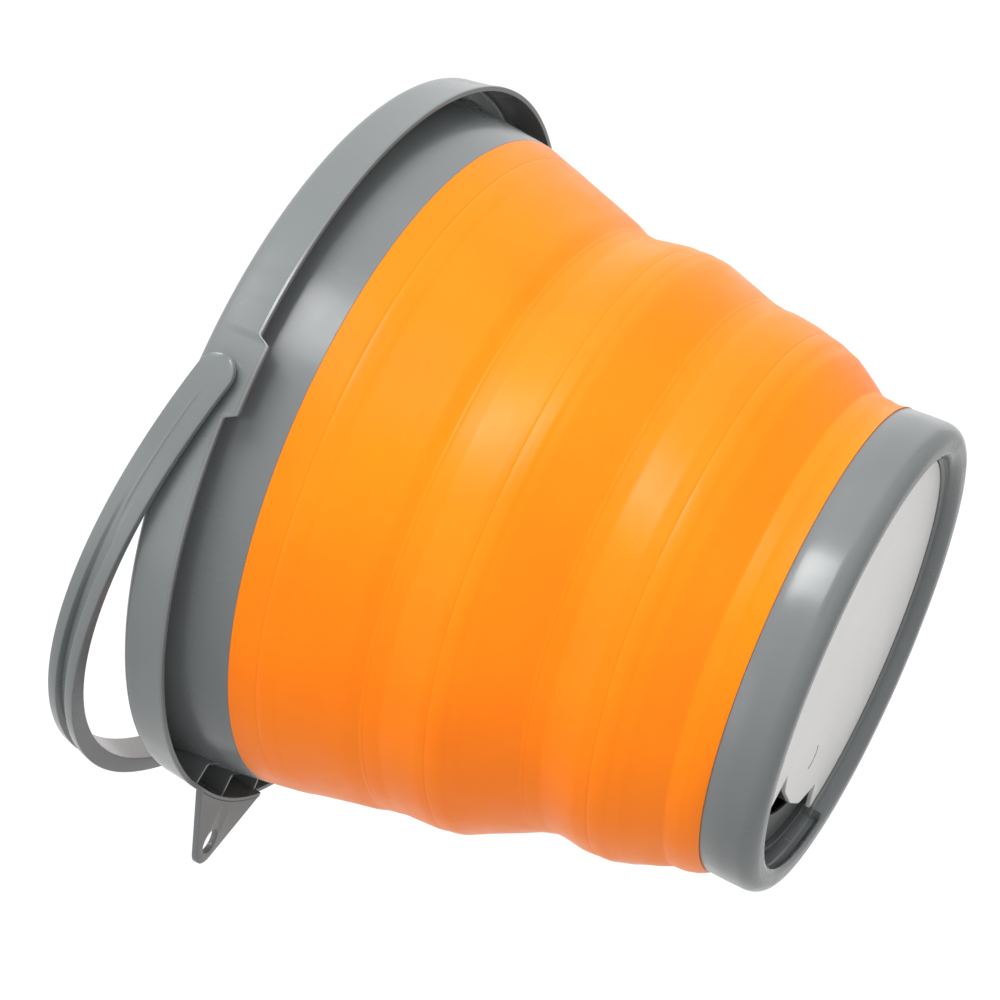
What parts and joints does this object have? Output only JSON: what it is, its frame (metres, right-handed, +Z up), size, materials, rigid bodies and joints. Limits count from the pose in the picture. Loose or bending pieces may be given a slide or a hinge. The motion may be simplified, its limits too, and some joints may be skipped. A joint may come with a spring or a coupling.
{
  "type": "folding bucket",
  "caption": "Round folding bucket: a soft banded wall between a rigid rim with a swinging bail and hang tab and a rigid base with a finger pocket.",
  "frame": {"origin": "on the plane that the foot stands on, under the middle of the whole footprint with the hang tab; the bucket's own axis is 13.8 mm from it along +Y", "axes": "+Z up out of the bucket's mouth, X along the bail's pivots, -Y towards the hang tab"},
  "size_m": [0.3224, 0.3424, 0.2817],
  "materials": {
    "grey_plastic": "satin moulded polypropylene",
    "orange_rubber": "smooth satin thermoplastic rubber",
    "pale_panel": "smooth pale grey plate",
    "dark_plastic": "grey plastic, seen in the pocket's shade"
  },
  "bodies": {
    "base": {"base_ring": "grey_plastic", "base_panel": "pale_panel", "base_floor": "grey_plastic", "finger_pocket": "dark_plastic", "wall_bottom_band": "orange_rubber", "wall_lower_fold": "orange_rubber"},
    "lower_band": {"wall_lower_band": "orange_rubber", "wall_middle_fold": "orange_rubber"},
    "upper_band": {"wall_upper_band": "orange_rubber", "wall_upper_fold": "orange_rubber"},
    "rim": {"rim_shell": "grey_plastic", "pivot_lug_right": "grey_plastic", "pivot_lug_left": "grey_plastic", "hang_tab": "grey_plastic", "rim_rib_1": "grey_plastic", "rim_rib_2": "grey_plastic", "rim_rib_3": "grey_plastic", "wall_top_band": "orange_rubber"},
    "bail": {"bail_handle": "grey_plastic", "pivot_stud_right": "grey_plastic", "pivot_stud_left": "grey_plastic"}
  },
  "joints": [
    {"name": "lower_fold", "type": "slide", "parent": "base", "child": "lower_band", "axis": [0, 0, -1], "range_m": [0, 0.0454], "deforming": ["wall_lower_fold"]},
    {"name": "middle_fold", "type": "slide", "parent": "lower_band", "child": "upper_band", "axis": [0, 0, -1], "range_m": [0, 0.0596], "deforming": ["wall_middle_fold"]},
    {"name": "upper_fold", "type": "slide", "parent": "upper_band", "child": "rim", "axis": [0, 0, -1], "range_m": [0, 0.078], "deforming": ["wall_upper_fold"]},
    {"name": "bail_pivot", "type": "hinge", "parent": "rim", "child": "bail", "pos_m": [0, 0.0138, 0.2298], "axis": [-1, 0, 0], "range_deg": [-14.2, 199]}
  ]
}
